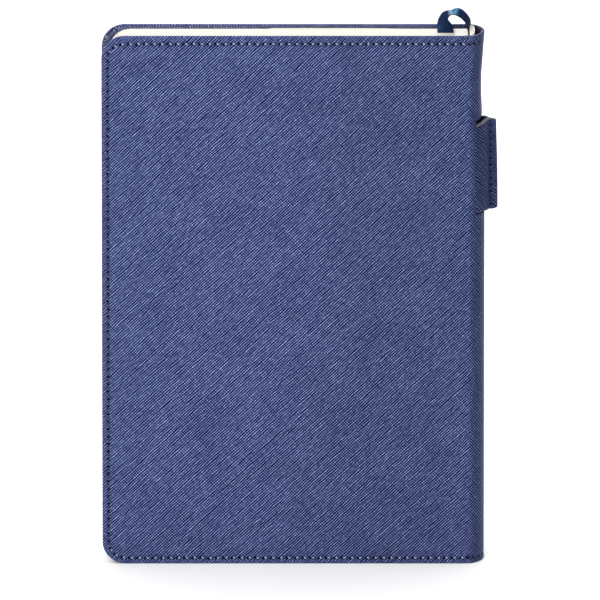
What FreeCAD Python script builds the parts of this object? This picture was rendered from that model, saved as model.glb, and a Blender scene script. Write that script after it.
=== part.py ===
import FreeCAD, Part
import math
import os

import Sketcher
from FreeCAD import Vector

# A stitched leather flight journal with a sewn refill, a ribbon marker and a pen loop, in millimetres.
# It stands closed on its tail edge: +Z runs up to the head, +X from the fore edge to the spine, and the
# back cover faces -Y. The origin is the middle of the footprint. Distances "from the fore edge" run
# along +X, and a "depth" runs inward from the outer face of either cover.

SIZES = {
    "book_width": 150.0,        # fore edge to the crest of the rounded spine
    "book_height": 217.6,
    "book_depth": 17.0,         # over both covers, closed
    "loop_reach": 5.1,          # pen loop beyond the spine's crest
    "spine_bulge": 5.5,         # crest beyond the two fold lines
    "fold_gap": 0.15,           # between a cover's cut end and its fold line
    "corner_radius": 9.0,
    "leather_thick": 1.0,
    "board_thick": 0.8,
    "board_inset": 5.0,
    "board_clear": 0.1,
    "board_fold": 3.0,          # board stops short of the fold line
    "board_corner": 4.0,
    "lining_thick": 0.4,
    "glue_line": 0.05,
    "card_slot": 0.4,           # height of the sleeve's pocket
    "card_thick": 0.3,
    "card_tab_end": 5.0,        # from the fore edge
    "card_tab_inset": 4.8,      # tab's head and tail below the cover's
    "card_step": 66.0,          # where the tab meets the full card
    "card_end": 143.2,
    "sleeve_width": 62.0,
    "sleeve_thick": 0.6,
    "sleeve_seam": 4.0,         # sewn margin on the sleeve's three closed sides
    "sleeve_overcut": 2.0,
    "stitch_inset": 2.4,
    "stitch_head_inset": 3.1,
    "thread_width": 0.5,
    "thread_depth": 0.3,
    "groove_width": 0.7,
    "page_inset": 1.1,          # pages below the cover at head and tail
    "page_recess": 3.2,         # pages behind the cover at the fore edge
    "page_corner": 8.0,
    "page_clear": 0.15,         # between the outermost bundle and the sleeve
    "signature_thick": 1.15,
    "signature_gap": 0.1,
    "signature_blunt": 0.02,    # left of the gutter edge beside the bevel
    "gutter_x": 138.2,          # where the bundles bend
    "gutter_clear": 0.1,
    "block_end": 143.3,
    "kerf_depth": 0.6,
    "kerf_height": 0.9,
    "kerf_margin": 0.5,
    "kerf_first": 22.0,
    "kerf_pitch": 43.4,
    "mull_thick": 0.3,
    "mull_inset": 10.0,
    "refill_left": 144.45,      # oval roll of card that backs the refill
    "refill_right": 145.35,
    "refill_half": 5.75,
    "refill_left_bow": 0.55,
    "refill_right_bow": 0.65,
    "refill_end_radius": 0.5,
    "loop_low": 144.7,
    "loop_high": 180.6,
    "dent_ramp": 2.5,           # leather kinks into the dent behind the loop
    "dent_depth": 2.35,
    "slit_half": 7.28,          # slits lie this far from the middle plane
    "slit_inner": 5.2,
    "slit_inner_x": 144.55,
    "slit_outer_x": 148.6,
    "loop_wall": 0.9,
    "loop_clear": 0.08,
    "loop_centre_x": 140.8,     # centre of the bowed wall of the back half
    "loop_centre_y": 1.85,
    "loop_radius": 10.65,
    "loop_inner_root": 6.44,
    "loop_shoulder": 1.6,
    "loop_inner_shoulder": 1.3,
    "loop_pinch_x": 151.0,
    "loop_neck_x": 152.0,
    "loop_neck_radius": 1.2,
    "loop_seam_x": 152.6,
    "loop_seam_margin": 1.6,
    "ribbon_width": 6.3,
    "ribbon_thick": 0.25,
}
KERFS = 5
SIGNATURES_PER_SIDE = 4
BACK, FRONT = -1, 1

# Route of the ribbon's middle line, in the frame: up out of the refill's spine, over the head and down
# between the pages at the middle of the book.
RIBBON_ROUTE = [
    (66.19, 0, 200.6), (66.2, 0, 209.3), (66.19, 0, 218.1), (66.0, 0, 221.6), (62.0, 0, 225.6),
    (57.0, 0, 224.2), (56.4, 0, 221.0), (57.0, 0, 217.6), (57.2, 0, 213.5), (57.0, 0, 206.0),
    (56.6, 0, 192.0), (57.1, 0, 166.0), (56.2, 0, 128.0), (57.0, 0, 91.0), (56.3, 0, 54.0), (56.9, 0, 18.0),
]
RIBBON_LEAN = math.radians(14)  # over the head the ribbon leans to the back cover
RIBBON_LEANING = (0.0, 3.5)     # runs beyond the pages' head over which it leans,
RIBBON_LEVELLING = (9.5, 13.0)  # comes level again
RIBBON_TURNING = (12.5, 22.5)   # and turns flat to the pages
ARC_SHARE = 0.45                # of the shorter run, for each corner's tangent arc
ARC_STEP = math.radians(12)
TOUCHING = 1e-4                 # points closer than this are one point
SMALLEST_CUT = 1e-3             # cubic millimetres

doc = FreeCAD.newDocument("Logbook")
sheet = doc.addObject("Spreadsheet::Sheet", "Sheet")
for row, (alias, size) in enumerate(SIZES.items(), start=1):
    sheet.set(f"A{row}", str(size))
    sheet.setAlias(f"A{row}", alias)
doc.recompute()

SUB_PARTS = []


def keep(item):
    """Registers a finished sub-part; its Label names its file."""
    SUB_PARTS.append(item)
    return item


def value(expression):
    return float(sheet.evalExpression(str(expression)))


def from_fore(distance):
    """X of a point this far from the fore edge."""
    return f"({distance}) - (Sheet.book_width + Sheet.loop_reach) / 2"


def layer(side, depth):
    """Sketch offset from the XZ plane, whose normal is -Y, of a layer this deep in one side."""
    return f"{-side} * (Sheet.book_depth / 2 - ({depth}))"


FORE = from_fore("0")
FOLD = from_fore("Sheet.book_width - Sheet.spine_bulge")
COVER_END = from_fore("Sheet.book_width - Sheet.spine_bulge - Sheet.fold_gap")
HEAD = "Sheet.book_height"
TAIL = "0"
BOARD_DEPTH = "Sheet.leather_thick"
LINING_DEPTH = "Sheet.leather_thick + Sheet.board_thick"
CARD_DEPTH = f"{LINING_DEPTH} + Sheet.lining_thick"
SLEEVE_DEPTH = f"{CARD_DEPTH} + Sheet.card_slot"
PAGE_DEPTH = f"{SLEEVE_DEPTH} + Sheet.sleeve_thick + Sheet.page_clear"
SPINE_RADIUS = "(((Sheet.book_depth / 2)^2 + Sheet.spine_bulge^2) / (2 * Sheet.spine_bulge))"
SPINE_CENTRE = from_fore(f"Sheet.book_width - {SPINE_RADIUS}")


# Sketches -------------------------------------------------------------------------------------------

def new_sketch(body, name, plane, offset):
    sketch = body.newObject("Sketcher::SketchObject", name)
    sketch.AttachmentSupport = [(next(f for f in body.Origin.OriginFeatures if f.Role == plane), "")]
    sketch.MapMode = "FlatFace"
    sketch.setExpression("AttachmentOffset.Base.z", offset)
    return sketch


def arc_between(start, end, radius, turn):
    """The short arc from start to end: turn is 1 for counter-clockwise and -1 for clockwise."""
    chord = end - start
    across = Vector(-chord.y, chord.x, 0).normalize()
    reach = math.sqrt(max(radius ** 2 - (chord.Length / 2) ** 2, 0.0))
    centre = (start + end) * 0.5 + across * (turn * reach)
    first, last = (start, end) if turn > 0 else (end, start)
    begin = math.atan2(first.y - centre.y, first.x - centre.x)
    stop = math.atan2(last.y - centre.y, last.x - centre.x)
    if stop < begin:
        stop += 2 * math.pi
    return Part.ArcOfCircle(Part.Circle(centre, Vector(0, 0, 1), radius), begin, stop)


def pin(sketch, kind, edge, end, expression):
    """Binds one coordinate of a sketch point to the sheet."""
    size = value(expression)
    if abs(size) < TOUCHING:
        axis = -2 if kind == "DistanceX" else -1
        sketch.addConstraint(Sketcher.Constraint("PointOnObject", edge, end, axis))
        return
    index = sketch.addConstraint(Sketcher.Constraint(kind, -1, 1, edge, end, size))
    sketch.setExpression(f"Constraints[{index}]", str(expression))


def outline(sketch, points):
    """Draws a closed outline. Each point is (x, y), or (x, y, radius, turn) if an arc leaves it."""
    spots = [Vector(value(point[0]), value(point[1]), 0) for point in points]
    edges = []
    for place, point in enumerate(points):
        start, end = spots[place], spots[(place + 1) % len(points)]
        if len(point) == 2:
            edges.append((sketch.addGeometry(Part.LineSegment(start, end), False), 1, 2))
            continue
        radius, turn = point[2:]
        index = sketch.addGeometry(arc_between(start, end, value(radius), turn), False)
        edges.append((index, 1, 2) if turn > 0 else (index, 2, 1))
        bend = sketch.addConstraint(Sketcher.Constraint("Radius", index, value(radius)))
        sketch.setExpression(f"Constraints[{bend}]", str(radius))
    for place, point in enumerate(points):
        index, start, _ = edges[place]
        before, _, end = edges[place - 1]
        sketch.addConstraint(Sketcher.Constraint("Coincident", before, end, index, start))
        pin(sketch, "DistanceX", index, start, point[0])
        pin(sketch, "DistanceY", index, start, point[1])


def panel_points(left, right, low, high, radius=None):
    """A rectangle whose two fore-edge corners may be rounded."""
    if radius is None:
        return [(left, low), (right, low), (right, high), (left, high)]
    return [
        (f"{left} + {radius}", low), (right, low), (right, high),
        (f"{left} + {radius}", high, radius, 1),
        (left, f"{high} - ({radius})"),
        (left, f"{low} + {radius}", radius, 1),
    ]


def seam_points(width):
    """A band of this width along the seam, down the head, fore and tail sides of a cover."""
    half = f"({width}) / 2"
    left = f"{FORE} + Sheet.stitch_inset"
    low = "Sheet.stitch_inset"
    high = f"{HEAD} - Sheet.stitch_head_inset"
    wide = f"(Sheet.corner_radius - Sheet.stitch_inset + {half})"
    tight = f"(Sheet.corner_radius - Sheet.stitch_inset - {half})"
    return [
        (COVER_END, f"{low} - {half}"),
        (f"{left} - {half} + {wide}", f"{low} - {half}", wide, -1),
        (f"{left} - {half}", f"{low} - {half} + {wide}"),
        (f"{left} - {half}", f"{high} + {half} - {wide}", wide, -1),
        (f"{left} - {half} + {wide}", f"{high} + {half}"),
        (COVER_END, f"{high} + {half}"),
        (COVER_END, f"{high} - {half}"),
        (f"{left} + {half} + {tight}", f"{high} - {half}", tight, 1),
        (f"{left} + {half}", f"{high} - {half} - {tight}"),
        (f"{left} + {half}", f"{low} + {half} + {tight}", tight, 1),
        (f"{left} + {half} + {tight}", f"{low} + {half}"),
        (COVER_END, f"{low} + {half}"),
    ]


# Features -------------------------------------------------------------------------------------------

def new_body(name):
    body = doc.addObject("PartDesign::Body", name)
    body.Label = name
    body.AllowCompound = True
    return body


def pad(body, name, sketch, length, backwards=False):
    feature = body.newObject("PartDesign::Pad", name)
    feature.Profile = sketch
    feature.setExpression("Length", length)
    feature.Reversed = backwards
    doc.recompute()
    return feature


def pocket(body, name, sketch, length, backwards=False):
    """Cuts against the sketch's normal, or along it if backwards, and makes sure that it cut."""
    before = body.Shape.Volume
    feature = body.newObject("PartDesign::Pocket", name)
    feature.Profile = sketch
    feature.setExpression("Length", length)
    feature.Reversed = backwards
    doc.recompute()
    if body.Shape.Volume > before - SMALLEST_CUT:
        raise RuntimeError(f"{name} cuts nothing")
    return feature


def slab(name, side, depth, thickness, points):
    """A flat layer of one side of the book, from its depth inward."""
    body = new_body(name)
    sketch = new_sketch(body, f"{name}_outline", "XZ_Plane", layer(side, depth))
    outline(sketch, points)
    pad(body, f"{name}_pad", sketch, thickness, backwards=side == BACK)
    return body


def sink(body, name, side, depth, length, points, inward):
    """A recess in a flat layer, cut inward or outward from its depth."""
    sketch = new_sketch(body, f"{name}_outline", "XZ_Plane", layer(side, depth))
    outline(sketch, points)
    pocket(body, name, sketch, length, backwards=(side == FRONT) == inward)


# Covers ---------------------------------------------------------------------------------------------

def cover(side, word):
    """One cover: leather turned in round a board, then lining, a card wing of the refill and a sleeve."""
    face = panel_points(FORE, COVER_END, TAIL, HEAD, "Sheet.corner_radius")

    name = f"{word}_cover_leather"
    leather = slab(name, side, "0", LINING_DEPTH, face)
    inset = "(Sheet.board_inset - Sheet.board_clear)"
    board_end = from_fore("Sheet.book_width - Sheet.spine_bulge - Sheet.board_fold")
    room = panel_points(f"{FORE} + {inset}", f"{board_end} + Sheet.board_clear", inset,
                        f"{HEAD} - {inset}", "(Sheet.board_corner + Sheet.board_clear)")
    sink(leather, f"{name}_board_room", side, LINING_DEPTH, "Sheet.board_thick", room, inward=False)
    sink(leather, f"{name}_seam", side, "0", "Sheet.thread_depth", seam_points("Sheet.groove_width"),
         inward=True)
    keep(leather)

    keep(slab(f"{word}_cover_board", side, BOARD_DEPTH, "Sheet.board_thick", panel_points(
        f"{FORE} + Sheet.board_inset", board_end, "Sheet.board_inset",
        f"{HEAD} - Sheet.board_inset", "Sheet.board_corner")))
    keep(slab(f"{word}_cover_lining", side, LINING_DEPTH, "Sheet.lining_thick", face))

    name = f"{word}_sleeve"
    sleeve = slab(name, side, CARD_DEPTH, "Sheet.card_slot + Sheet.sleeve_thick", panel_points(
        FORE, from_fore("Sheet.sleeve_width"), TAIL, HEAD, "Sheet.corner_radius"))
    mouth = panel_points(
        f"{FORE} + Sheet.sleeve_seam", from_fore("Sheet.sleeve_width + Sheet.sleeve_overcut"),
        "Sheet.sleeve_seam", f"{HEAD} - Sheet.sleeve_seam")
    sink(sleeve, f"{name}_pocket", side, CARD_DEPTH, "Sheet.card_slot", mouth, inward=True)
    keep(sleeve)

    card_depth = f"{CARD_DEPTH} + (Sheet.card_slot - Sheet.card_thick) / 2"
    tab, step = from_fore("Sheet.card_tab_end"), from_fore("Sheet.card_step")
    end = from_fore("Sheet.card_end")
    low, tab_low = "Sheet.page_inset", "Sheet.card_tab_inset"
    high, tab_high = f"{HEAD} - Sheet.page_inset", f"{HEAD} - Sheet.card_tab_inset"
    keep(slab(f"refill_{word}_card", side, card_depth, "Sheet.card_thick", [
        (tab, tab_low), (step, tab_low), (step, low), (end, low),
        (end, high), (step, high), (step, tab_high), (tab, tab_high)]))

    keep(slab(f"{word}_cover_stitches", side, "0", "Sheet.thread_depth",
              seam_points("Sheet.thread_width")))


# Spine ----------------------------------------------------------------------------------------------

def spine_point(radius, angle_half):
    """A point on a spine arc of this radius, in line with the outer arc's point at angle_half from
    the middle plane."""
    x = f"{SPINE_CENTRE} + ({radius}) * sqrt(1 - (({angle_half}) / {SPINE_RADIUS})^2)"
    return x, f"({radius}) * ({angle_half}) / {SPINE_RADIUS}"


def fold_half(radius):
    """Half width of a spine arc of this radius at the fold line."""
    return f"sqrt(({radius})^2 - ({SPINE_RADIUS} - Sheet.spine_bulge)^2)"


def bow_radius(half, bow):
    return f"((({half})^2 + ({bow})^2) / (2 * ({bow})))"


def spine_section(body, name, height, outer_depth, thickness, dented):
    """The U-shaped section of one spine layer, with its middle pushed in where it is dented."""
    outer = f"({SPINE_RADIUS} - ({outer_depth}))"
    inner = f"({SPINE_RADIUS} - ({outer_depth}) - ({thickness}))"
    bends, corners = {}, {}
    for radius, crest_depth in ((outer, outer_depth), (inner, f"{outer_depth} + {thickness}")):
        corners[radius] = spine_point(radius, "Sheet.slit_half")
        x, half = corners[radius]
        crest = from_fore(f"Sheet.book_width - Sheet.dent_depth - ({crest_depth})")
        bends[radius] = bow_radius(half, f"({crest}) - ({x})") if dented else radius
    sketch = new_sketch(body, name, "XY_Plane", height)
    outer_x, outer_half = corners[outer]
    inner_x, inner_half = corners[inner]
    outline(sketch, [
        (FOLD, f"-{fold_half(outer)}", outer, 1),
        (outer_x, f"-({outer_half})", bends[outer], 1),
        (outer_x, outer_half, outer, 1),
        (FOLD, fold_half(outer)),
        (FOLD, fold_half(inner), inner, -1),
        (inner_x, inner_half, bends[inner], -1),
        (inner_x, f"-({inner_half})", inner, -1),
        (FOLD, f"-{fold_half(inner)}"),
    ])
    return sketch


def spine_layer(name, outer_depth, thickness):
    """A layer of the spine that runs from tail to head and is dented behind the pen loop."""
    body = new_body(name)
    heights = [
        (TAIL, False), ("Sheet.loop_low - Sheet.dent_ramp", False), ("Sheet.loop_low", True),
        ("Sheet.loop_high", True), ("Sheet.loop_high + Sheet.dent_ramp", False), (HEAD, False),
    ]
    sections = [spine_section(body, f"{name}_section_{place}", height, outer_depth, thickness, dented)
                for place, (height, dented) in enumerate(heights)]
    loft = body.newObject("PartDesign::AdditiveLoft", f"{name}_loft")
    loft.Profile = sections[0]
    loft.Sections = sections[1:]
    loft.Ruled = True
    doc.recompute()
    return body


def spine_band(body, name, height, depth):
    """The outer skin of the spine from fold to fold, for a seam round it."""
    inner = f"({SPINE_RADIUS} - ({depth}))"
    sketch = new_sketch(body, name, "XY_Plane", height)
    outline(sketch, [
        (FOLD, f"-{fold_half(SPINE_RADIUS)}", SPINE_RADIUS, 1),
        (FOLD, fold_half(SPINE_RADIUS)),
        (FOLD, fold_half(inner), inner, -1),
        (FOLD, f"-{fold_half(inner)}"),
    ])
    return sketch


SEAM_HEIGHTS = ("Sheet.stitch_inset", f"{HEAD} - Sheet.stitch_head_inset")


def spine():
    name = "spine_leather"
    leather = spine_layer(name, "0", "Sheet.leather_thick")
    for place, height in enumerate(SEAM_HEIGHTS):
        groove = spine_band(leather, f"{name}_seam_{place}_outline", f"{height} - Sheet.groove_width / 2",
                            "Sheet.thread_depth")
        pocket(leather, f"{name}_seam_{place}", groove, "Sheet.groove_width", backwards=True)
    for word, near, far in (("back", "-Sheet.slit_half", "-Sheet.slit_inner"),
                            ("front", "Sheet.slit_inner", "Sheet.slit_half")):
        slit = new_sketch(leather, f"{name}_{word}_slit_outline", "XY_Plane", "Sheet.loop_low")
        outline(slit, panel_points(from_fore("Sheet.slit_inner_x"), from_fore("Sheet.slit_outer_x"),
                                   near, far))
        pocket(leather, f"{name}_{word}_slit", slit, "Sheet.loop_high - Sheet.loop_low", backwards=True)
    keep(leather)

    keep(spine_layer("spine_lining", "Sheet.leather_thick + Sheet.glue_line", "Sheet.lining_thick"))

    thread = new_body("spine_stitches")
    for place, height in enumerate(SEAM_HEIGHTS):
        band = spine_band(thread, f"spine_stitches_{place}_outline", f"{height} - Sheet.thread_width / 2",
                          "Sheet.thread_depth")
        pad(thread, f"spine_stitches_{place}", band, "Sheet.thread_width")
    keep(thread)


# Pen loop -------------------------------------------------------------------------------------------

def pen_loop():
    """One strip: its ends go through the two slits, its middle is pinched into a sewn flap."""
    wall = "Sheet.loop_wall"
    end = "Sheet.book_width + Sheet.loop_reach"
    root = "(Sheet.slit_half - Sheet.loop_clear)"
    inner_root = "Sheet.loop_inner_root"

    def on_wall(radius, half):
        return from_fore(f"Sheet.loop_centre_x + sqrt(({radius})^2 - ({half} + Sheet.loop_centre_y)^2)")

    outer, inner = "Sheet.loop_radius", f"(Sheet.loop_radius - {wall})"
    shoulder, inner_shoulder = "Sheet.loop_shoulder", "Sheet.loop_inner_shoulder"
    seat_radius = f"({SPINE_RADIUS} - Sheet.leather_thick)"
    seat_x = f"{SPINE_CENTRE} + sqrt({seat_radius}^2 - {root}^2)"
    neck = from_fore("Sheet.loop_neck_x")

    body = new_body("pen_loop")
    sketch = new_sketch(body, "pen_loop_outline", "XY_Plane", "Sheet.loop_low")
    outline(sketch, [
        (seat_x, f"-{root}"),
        (on_wall(outer, root), f"-{root}", outer, 1),
        (on_wall(outer, shoulder), f"-{shoulder}", "Sheet.loop_neck_radius", -1),
        (neck, f"-{wall}"),
        (from_fore(f"{end} - {wall}"), f"-{wall}", wall, 1),
        (from_fore(end), "0", wall, 1),
        (from_fore(f"{end} - {wall}"), wall),
        (neck, wall, "Sheet.loop_neck_radius", -1),
        (on_wall(outer, shoulder), shoulder, outer, 1),
        (on_wall(outer, root), root),
        (seat_x, root),
        (on_wall(inner, inner_root), inner_root, inner, -1),
        (on_wall(inner, inner_shoulder), inner_shoulder),
        (from_fore("Sheet.loop_pinch_x"), "0"),
        (on_wall(inner, inner_shoulder), f"-{inner_shoulder}", inner, -1),
        (on_wall(inner, inner_root), f"-{inner_root}"),
    ])
    pad(body, "pen_loop_pad", sketch, "Sheet.loop_high - Sheet.loop_low")

    thread = new_body("pen_loop_stitches")
    length = "Sheet.loop_high - Sheet.loop_low - 2 * Sheet.loop_seam_margin"
    for word, side in (("back", BACK), ("front", FRONT)):
        for target, width in ((body, "Sheet.groove_width"), (thread, "Sheet.thread_width")):
            low, high = sorted((f"{side} * {wall}", f"{side} * ({wall} - Sheet.thread_depth)"), key=value)
            seam = new_sketch(target, f"{target.Name}_{word}_seam_outline", "XY_Plane",
                              "Sheet.loop_low + Sheet.loop_seam_margin")
            outline(seam, panel_points(from_fore(f"Sheet.loop_seam_x - {width} / 2"),
                                       from_fore(f"Sheet.loop_seam_x + {width} / 2"), low, high))
            if target is body:
                pocket(target, f"pen_loop_{word}_seam", seam, length, backwards=True)
            else:
                pad(target, f"pen_loop_stitches_{word}", seam, length)
    keep(body)
    keep(thread)


# Refill ---------------------------------------------------------------------------------------------

def signature(name, side, place):
    """A bundle of leaves; its inner gutter edge is bevelled so that bundles can fan out."""
    depth = f"{PAGE_DEPTH} + {place} * (Sheet.signature_thick + Sheet.signature_gap)"
    body = slab(name, side, depth, "Sheet.signature_thick", panel_points(
        from_fore("Sheet.page_recess"), from_fore("Sheet.gutter_x"), "Sheet.page_inset",
        f"{HEAD} - Sheet.page_inset", "Sheet.page_corner"))
    bend = value(from_fore("Sheet.gutter_x"))
    inner = side * value(f"Sheet.book_depth / 2 - ({depth}) - Sheet.signature_thick")
    edge = next(index for index, line in enumerate(body.Shape.Edges, start=1)
                if all(math.dist((corner.X, corner.Y), (bend, inner)) < TOUCHING for corner in line.Vertexes))
    bevel = body.newObject("PartDesign::Chamfer", f"{name}_bevel")
    bevel.Base = (body.getObject(f"{name}_pad"), [f"Edge{edge}"])
    bevel.setExpression("Size", "Sheet.signature_thick - Sheet.signature_blunt")
    doc.recompute()
    keep(body)


def refill():
    block_half = f"(Sheet.book_depth / 2 - ({PAGE_DEPTH}))"
    low, high = "Sheet.page_inset", f"{HEAD} - Sheet.page_inset"

    gutter = slab("page_gutter", BACK, PAGE_DEPTH, f"2 * {block_half}", panel_points(
        from_fore("Sheet.gutter_x + Sheet.gutter_clear"), from_fore("Sheet.block_end"), low, high))
    threads = doc.addObject("Part::Compound", "sewing_thread")
    threads.Label = "sewing_thread"
    links = []
    for place in range(KERFS):
        kerf_low = f"Sheet.kerf_first + {place} * Sheet.kerf_pitch - Sheet.kerf_height / 2"
        half = f"({block_half} - Sheet.kerf_margin)"
        kerf = new_sketch(gutter, f"page_gutter_kerf_{place}_outline", "XY_Plane", kerf_low)
        outline(kerf, panel_points(from_fore("Sheet.block_end - Sheet.kerf_depth"),
                                   from_fore("Sheet.block_end"), f"-{half}", half))
        pocket(gutter, f"page_gutter_kerf_{place}", kerf, "Sheet.kerf_height", backwards=True)
        run = doc.addObject("Part::Box", f"sewing_thread_run_{place}")
        run.setExpression("Length", "Sheet.kerf_depth")
        run.setExpression("Width", f"2 * {half}")
        run.setExpression("Height", "Sheet.kerf_height")
        run.setExpression("Placement.Base.x", from_fore("Sheet.block_end - Sheet.kerf_depth"))
        run.setExpression("Placement.Base.y", f"-{half}")
        run.setExpression("Placement.Base.z", kerf_low)
        links.append(run)
    threads.Links = links
    keep(gutter)
    keep(threads)

    keep(slab("spine_mull", BACK, PAGE_DEPTH, f"2 * {block_half}", panel_points(
        from_fore("Sheet.block_end"), from_fore("Sheet.block_end + Sheet.mull_thick"),
        "Sheet.mull_inset", f"{HEAD} - Sheet.mull_inset")))

    roll = new_body("refill_spine")
    sketch = new_sketch(roll, "refill_spine_outline", "XY_Plane", low)
    left, right = from_fore("Sheet.refill_left"), from_fore("Sheet.refill_right")
    half = "Sheet.refill_half"
    outline(sketch, [
        (left, f"-{half}", "Sheet.refill_end_radius", 1),
        (right, f"-{half}", bow_radius(half, "Sheet.refill_right_bow"), 1),
        (right, half, "Sheet.refill_end_radius", 1),
        (left, half, bow_radius(half, "Sheet.refill_left_bow"), 1),
    ])
    pad(roll, "refill_spine_pad", sketch, f"{high} - {low}")
    keep(roll)

    for place in range(SIGNATURES_PER_SIDE):
        signature(f"signature_{place + 1}", FRONT, place)
        signature(f"signature_{2 * SIGNATURES_PER_SIDE - place}", BACK, place)


# Ribbon ---------------------------------------------------------------------------------------------

def route_stations(points):
    """Places along the route, with its direction there: straight runs joined by tangent arcs."""
    spots = [Vector(*point) for point in points]
    runs = [(end - start) for start, end in zip(spots, spots[1:])]
    stations = [(spots[0], Vector(runs[0]).normalize())]
    for spot, before, after in zip(spots[1:], runs, runs[1:]):
        turn = before.getAngle(after)
        radius = ARC_SHARE * min(before.Length, after.Length) / math.tan(turn / 2)
        print(f"ribbon bend: radius {radius:.1f} mm over {math.degrees(turn):.0f} degrees")
        along, on = Vector(before).normalize(), Vector(after).normalize()
        side = (on - along * along.dot(on)).normalize()
        start = spot - along * (radius * math.tan(turn / 2))
        steps = max(1, math.ceil(turn / ARC_STEP))
        for step in range(steps + 1):
            angle = turn * step / steps
            here = start + along * (radius * math.sin(angle)) + side * (radius * (1 - math.cos(angle)))
            stations.append((here, along * math.cos(angle) + side * math.sin(angle)))
    stations.append((spots[-1], Vector(runs[-1]).normalize()))
    return stations


def eased(span, run):
    """Goes smoothly from 0 to 1 over a span of the ribbon's run."""
    share = min(max((run - span[0]) / (span[1] - span[0]), 0.0), 1.0)
    return share * share * (3 - 2 * share)


def ribbon_twist(run):
    """How far the ribbon is turned about its own line, from flat across the spine."""
    lean = RIBBON_LEAN * (eased(RIBBON_LEANING, run) - eased(RIBBON_LEVELLING, run))
    return lean + math.pi / 2 * eased(RIBBON_TURNING, run)


def ribbon():
    """A flat strip: flat across the spine where it leaves the refill, flat to the pages further on."""
    across = Vector(0, 1, 0)
    half_width, half_thick = value("Sheet.ribbon_width") / 2, value("Sheet.ribbon_thick") / 2
    page_head = value(f"{HEAD} - Sheet.page_inset")
    sections = []
    run, last = 0.0, None
    for place, along in route_stations(RIBBON_ROUTE):
        run = run + (place - last).Length if run > 0 else max(place.z - page_head, 0.0)
        last = place
        twist = ribbon_twist(run)
        wide = across * math.cos(twist) + across.cross(along) * math.sin(twist)
        thick = along.cross(wide)
        corners = [place + wide * (half_width * a) + thick * (half_thick * b)
                   for a, b in ((-1, -1), (1, -1), (1, 1), (-1, 1))]
        sections.append(Part.makePolygon(corners + corners[:1]))
    marker = doc.addObject("Part::Feature", "ribbon_marker")
    marker.Label = "ribbon_marker"
    marker.Shape = Part.makeLoft(sections, True, True)
    marker.Placement = FreeCAD.Placement()
    keep(marker)


cover(BACK, "back")
cover(FRONT, "front")
spine()
pen_loop()
refill()
ribbon()
doc.recompute()

for item in doc.Objects:
    if {"Invalid", "Error"} & set(item.State):
        raise RuntimeError(f"{item.Label} failed: {item.State}")
os.makedirs("parts", exist_ok=True)
for item in SUB_PARTS:
    if item.Shape.isNull() or not item.Shape.isValid() or item.Shape.Volume <= 0:
        raise RuntimeError(f"{item.Label} has no sound shape")
for item in SUB_PARTS:
    item.Shape.exportStep(f"parts/{item.Label}.step")
    print(f"{item.Label}: {len(item.Shape.Solids)} solid(s), {item.Shape.Volume:.1f} mm3")
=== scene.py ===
import math
import random

import bpy
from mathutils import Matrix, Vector


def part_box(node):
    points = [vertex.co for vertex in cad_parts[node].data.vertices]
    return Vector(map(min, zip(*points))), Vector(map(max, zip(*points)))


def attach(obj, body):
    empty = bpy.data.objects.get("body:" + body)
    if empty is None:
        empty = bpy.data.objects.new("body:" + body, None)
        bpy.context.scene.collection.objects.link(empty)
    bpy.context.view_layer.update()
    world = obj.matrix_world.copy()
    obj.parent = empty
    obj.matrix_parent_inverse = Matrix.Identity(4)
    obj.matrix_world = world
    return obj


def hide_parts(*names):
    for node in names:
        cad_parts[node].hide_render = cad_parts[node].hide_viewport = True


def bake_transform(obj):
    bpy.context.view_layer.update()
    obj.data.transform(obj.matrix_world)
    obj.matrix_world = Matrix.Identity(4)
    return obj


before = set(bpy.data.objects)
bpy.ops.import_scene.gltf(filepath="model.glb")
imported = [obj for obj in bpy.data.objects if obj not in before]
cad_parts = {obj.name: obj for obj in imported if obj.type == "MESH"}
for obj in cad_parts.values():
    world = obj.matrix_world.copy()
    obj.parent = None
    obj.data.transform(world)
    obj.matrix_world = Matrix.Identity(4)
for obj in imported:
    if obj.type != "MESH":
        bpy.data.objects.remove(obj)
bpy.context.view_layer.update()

# Lengths in this script are in millimetres, in the frame's axes: +Z to the head, +X to the spine, and the
# back cover faces -Y.
MM = 0.001
chance = random.Random(7)


def box_mm(node):
    low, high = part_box(node)
    return low / MM, high / MM


cover_low, cover_high = box_mm("back_cover_leather")
spine_low, spine_high = box_mm("spine_leather")
loop_low, loop_high = box_mm("pen_loop")
page_high = box_mm("signature_1")[1]
roll_low, roll_high = box_mm("refill_spine")
ribbon_low, ribbon_high = box_mm("ribbon_marker")
sleeve_low, sleeve_high = box_mm("back_sleeve")
seam_low, seam_high = box_mm("back_cover_stitches")

BACK, FRONT = -1, 1
WORDS = {BACK: "back", FRONT: "front"}
FORE, FOLD, CREST = cover_low.x, spine_low.x, spine_high.x
TAIL, HEAD = cover_low.z, cover_high.z
FACE = -cover_low.y  # outer face of either cover, from the middle plane
CORNER = 9.0
LEATHER = 1.0
COVER_THICK = 1.8  # leather and its turned-in edge
LINING = 0.4
SLEEVE_DEPTH = COVER_THICK + LINING
SLEEVE_THICK = sleeve_high.y - sleeve_low.y
THREAD = 0.5
SEAM_TAIL, SEAM_HEAD = seam_low.z + THREAD / 2, seam_high.z - THREAD / 2
SEAM_IN, SEAM_HEAD_IN = SEAM_TAIL - TAIL, HEAD - SEAM_HEAD
STITCH_PITCH = 3.1
PANEL_END = FOLD - 2.0  # covers' flat panels stop here and the folds begin

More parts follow.
